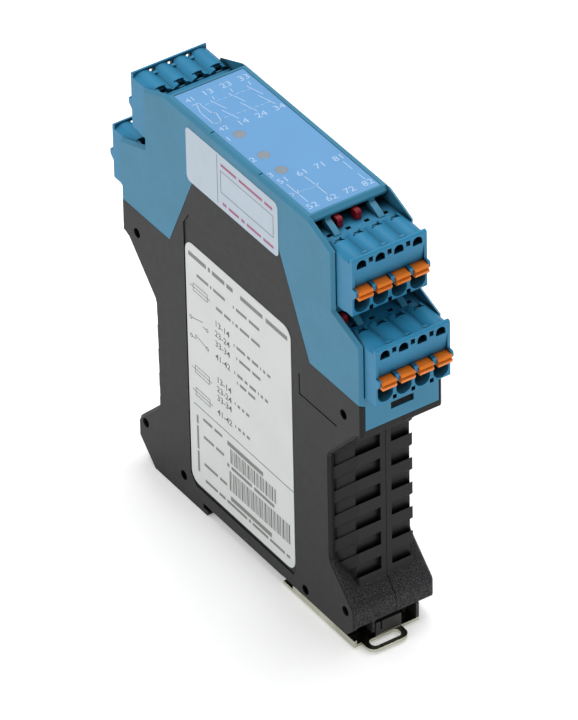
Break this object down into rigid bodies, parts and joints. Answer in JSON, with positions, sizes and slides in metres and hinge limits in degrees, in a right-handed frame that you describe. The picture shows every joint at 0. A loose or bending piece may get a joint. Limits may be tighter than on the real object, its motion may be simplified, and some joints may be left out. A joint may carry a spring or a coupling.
{
  "type": "safety relay",
  "caption": "Narrow rail-mounted safety relay: black lower housing with vents, blue cap, plug-in terminal blocks on two steps at each end and a sprung foot catch.",
  "frame": {"origin": "bottom centre of the housing's bounding box, under the middle of the rail", "axes": "+Z away from the rail, Y across the rail with the foot catch at -Y, X along the rail across the module's width, with the type label on -X"},
  "size_m": [0.0227, 0.112, 0.1145],
  "materials": {
    "housing_black": "fine moulded grain",
    "cap_blue": "fine moulded grain",
    "plug_blue": "satin",
    "film_blue": "satin printed film",
    "label_grey": "smooth printed film",
    "sticker_silver": "satin foil",
    "board_green": "solder mask",
    "relay_cover": "smooth",
    "ferrite": "sintered",
    "can_aluminium": "sleeved can",
    "fuse_glass": "clear with metal caps",
    "chip_black": "moulded epoxy",
    "light_guide": "frosted clear",
    "catch_steel": "yellowish zinc plate",
    "spring_steel": "bright",
    "pin_tinned": "tin plated copper alloy",
    "coding_red": "satin",
    "pusher_orange": "satin"
  },
  "bodies": {
    "housing": {"lower_shell_left": "housing_black", "lower_shell_right": "housing_black", "upper_housing": "cap_blue", "top_film": "film_blue", "side_label": "label_grey", "seal_sticker": "sticker_silver", "circuit_board": "board_green", "relay_1": "relay_cover", "relay_2": "relay_cover", "transformer": "ferrite", "capacitor_1": "can_aluminium", "capacitor_2": "can_aluminium", "fuse": "fuse_glass", "control_chip_1": "chip_black", "control_chip_2": "chip_black", "light_guide_1": "light_guide", "light_guide_2": "light_guide", "light_guide_3": "light_guide", "catch_spring": "spring_steel", "header_front_upper": "plug_blue", "pins_front_upper": "pin_tinned", "coding_tabs_front_upper": "coding_red", "header_front_lower": "plug_blue", "pins_front_lower": "pin_tinned", "coding_tabs_front_lower": "coding_red", "header_rear_upper": "plug_blue", "pins_rear_upper": "pin_tinned", "coding_tabs_rear_upper": "coding_red", "header_rear_lower": "plug_blue", "pins_rear_lower": "pin_tinned", "coding_tabs_rear_lower": "coding_red"},
    "foot_catch_body": {"foot_catch": "catch_steel"},
    "plug_body_front_upper": {"plug_front_upper": "plug_blue", "wire_clamps_front_upper": "spring_steel"},
    "pusher_body_front_upper_1": {"pusher_front_upper_1": "pusher_orange"},
    "pusher_body_front_upper_2": {"pusher_front_upper_2": "pusher_orange"},
    "pusher_body_front_upper_3": {"pusher_front_upper_3": "pusher_orange"},
    "pusher_body_front_upper_4": {"pusher_front_upper_4": "pusher_orange"},
    "plug_body_front_lower": {"plug_front_lower": "plug_blue", "wire_clamps_front_lower": "spring_steel"},
    "pusher_body_front_lower_1": {"pusher_front_lower_1": "pusher_orange"},
    "pusher_body_front_lower_2": {"pusher_front_lower_2": "pusher_orange"},
    "pusher_body_front_lower_3": {"pusher_front_lower_3": "pusher_orange"},
    "pusher_body_front_lower_4": {"pusher_front_lower_4": "pusher_orange"},
    "plug_body_rear_upper": {"plug_rear_upper": "plug_blue", "wire_clamps_rear_upper": "spring_steel"},
    "pusher_body_rear_upper_1": {"pusher_rear_upper_1": "pusher_orange"},
    "pusher_body_rear_upper_2": {"pusher_rear_upper_2": "pusher_orange"},
    "pusher_body_rear_upper_3": {"pusher_rear_upper_3": "pusher_orange"},
    "pusher_body_rear_upper_4": {"pusher_rear_upper_4": "pusher_orange"},
    "plug_body_rear_lower": {"plug_rear_lower": "plug_blue", "wire_clamps_rear_lower": "spring_steel"},
    "pusher_body_rear_lower_1": {"pusher_rear_lower_1": "pusher_orange"},
    "pusher_body_rear_lower_2": {"pusher_rear_lower_2": "pusher_orange"},
    "pusher_body_rear_lower_3": {"pusher_rear_lower_3": "pusher_orange"},
    "pusher_body_rear_lower_4": {"pusher_rear_lower_4": "pusher_orange"}
  },
  "joints": [
    {"name": "foot_catch_slide", "type": "slide", "parent": "housing", "child": "foot_catch_body", "axis": [0, -1, 0], "range_m": [0, 0.0025], "stiffness_N_per_m": 800, "springref_m": -0.002, "deforming": ["catch_spring"]},
    {"name": "plug_slide_front_upper", "type": "slide", "parent": "housing", "child": "plug_body_front_upper", "axis": [0, -1, 0], "range_m": [0, 0.014]},
    {"name": "pusher_press_front_upper_1", "type": "slide", "parent": "plug_body_front_upper", "child": "pusher_body_front_upper_1", "axis": [0, 1, 0], "range_m": [0, 0.0012], "stiffness_N_per_m": 1000, "springref_m": -0.001},
    {"name": "pusher_press_front_upper_2", "type": "slide", "parent": "plug_body_front_upper", "child": "pusher_body_front_upper_2", "axis": [0, 1, 0], "range_m": [0, 0.0012], "stiffness_N_per_m": 1000, "springref_m": -0.001},
    {"name": "pusher_press_front_upper_3", "type": "slide", "parent": "plug_body_front_upper", "child": "pusher_body_front_upper_3", "axis": [0, 1, 0], "range_m": [0, 0.0012], "stiffness_N_per_m": 1000, "springref_m": -0.001},
    {"name": "pusher_press_front_upper_4", "type": "slide", "parent": "plug_body_front_upper", "child": "pusher_body_front_upper_4", "axis": [0, 1, 0], "range_m": [0, 0.0012], "stiffness_N_per_m": 1000, "springref_m": -0.001},
    {"name": "plug_slide_front_lower", "type": "slide", "parent": "housing", "child": "plug_body_front_lower", "axis": [0, -1, 0], "range_m": [0, 0.014]},
    {"name": "pusher_press_front_lower_1", "type": "slide", "parent": "plug_body_front_lower", "child": "pusher_body_front_lower_1", "axis": [0, 1, 0], "range_m": [0, 0.0012], "stiffness_N_per_m": 1000, "springref_m": -0.001},
    {"name": "pusher_press_front_lower_2", "type": "slide", "parent": "plug_body_front_lower", "child": "pusher_body_front_lower_2", "axis": [0, 1, 0], "range_m": [0, 0.0012], "stiffness_N_per_m": 1000, "springref_m": -0.001},
    {"name": "pusher_press_front_lower_3", "type": "slide", "parent": "plug_body_front_lower", "child": "pusher_body_front_lower_3", "axis": [0, 1, 0], "range_m": [0, 0.0012], "stiffness_N_per_m": 1000, "springref_m": -0.001},
    {"name": "pusher_press_front_lower_4", "type": "slide", "parent": "plug_body_front_lower", "child": "pusher_body_front_lower_4", "axis": [0, 1, 0], "range_m": [0, 0.0012], "stiffness_N_per_m": 1000, "springref_m": -0.001},
    {"name": "plug_slide_rear_upper", "type": "slide", "parent": "housing", "child": "plug_body_rear_upper", "axis": [0, 1, 0], "range_m": [0, 0.014]},
    {"name": "pusher_press_rear_upper_1", "type": "slide", "parent": "plug_body_rear_upper", "child": "pusher_body_rear_upper_1", "axis": [0, -1, 0], "range_m": [0, 0.0012], "stiffness_N_per_m": 1000, "springref_m": -0.001},
    {"name": "pusher_press_rear_upper_2", "type": "slide", "parent": "plug_body_rear_upper", "child": "pusher_body_rear_upper_2", "axis": [0, -1, 0], "range_m": [0, 0.0012], "stiffness_N_per_m": 1000, "springref_m": -0.001},
    {"name": "pusher_press_rear_upper_3", "type": "slide", "parent": "plug_body_rear_upper", "child": "pusher_body_rear_upper_3", "axis": [0, -1, 0], "range_m": [0, 0.0012], "stiffness_N_per_m": 1000, "springref_m": -0.001},
    {"name": "pusher_press_rear_upper_4", "type": "slide", "parent": "plug_body_rear_upper", "child": "pusher_body_rear_upper_4", "axis": [0, -1, 0], "range_m": [0, 0.0012], "stiffness_N_per_m": 1000, "springref_m": -0.001},
    {"name": "plug_slide_rear_lower", "type": "slide", "parent": "housing", "child": "plug_body_rear_lower", "axis": [0, 1, 0], "range_m": [0, 0.014]},
    {"name": "pusher_press_rear_lower_1", "type": "slide", "parent": "plug_body_rear_lower", "child": "pusher_body_rear_lower_1", "axis": [0, -1, 0], "range_m": [0, 0.0012], "stiffness_N_per_m": 1000, "springref_m": -0.001},
    {"name": "pusher_press_rear_lower_2", "type": "slide", "parent": "plug_body_rear_lower", "child": "pusher_body_rear_lower_2", "axis": [0, -1, 0], "range_m": [0, 0.0012], "stiffness_N_per_m": 1000, "springref_m": -0.001},
    {"name": "pusher_press_rear_lower_3", "type": "slide", "parent": "plug_body_rear_lower", "child": "pusher_body_rear_lower_3", "axis": [0, -1, 0], "range_m": [0, 0.0012], "stiffness_N_per_m": 1000, "springref_m": -0.001},
    {"name": "pusher_press_rear_lower_4", "type": "slide", "parent": "plug_body_rear_lower", "child": "pusher_body_rear_lower_4", "axis": [0, -1, 0], "range_m": [0, 0.0012], "stiffness_N_per_m": 1000, "springref_m": -0.001}
  ]
}
